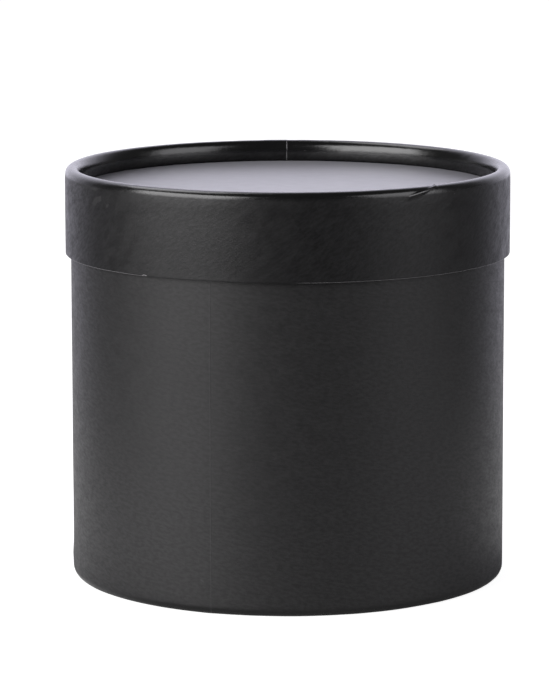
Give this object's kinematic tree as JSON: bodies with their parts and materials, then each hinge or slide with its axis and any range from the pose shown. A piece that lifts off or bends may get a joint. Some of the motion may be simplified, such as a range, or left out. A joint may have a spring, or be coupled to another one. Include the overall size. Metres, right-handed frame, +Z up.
{
  "type": "cylindrical gift tube box",
  "caption": "Round paperboard gift box: a black paper-covered tube with rolled edges, recessed discs and a telescoping lift-off lid.",
  "frame": {"origin": "centre of the foot ring that the box stands on, at the level of the table", "axes": "+Z up along the tube's axis, from the foot to the lid; the front of the picture faces -Y"},
  "size_m": [0.11, 0.11, 0.102],
  "materials": {
    "body_paper": "satin black covering paper, fine grain",
    "lid_paper": "satin black covering paper with faint wrinkles",
    "disc_paper": "smooth satin black paper",
    "greyboard": "matt wound greyboard, black on its inner face"
  },
  "bodies": {
    "body": {"body_tube": "greyboard", "body_wrap": "body_paper", "base_disc": "greyboard", "base_disc_cover": "disc_paper"},
    "lid": {"lid_tube": "greyboard", "lid_wrap": "lid_paper", "lid_disc": "greyboard", "lid_disc_cover": "disc_paper"}
  },
  "joints": [
    {"name": "lid_lift", "type": "slide", "parent": "body", "child": "lid", "axis": [0, 0, 1], "range_m": [0, 0.035]}
  ]
}
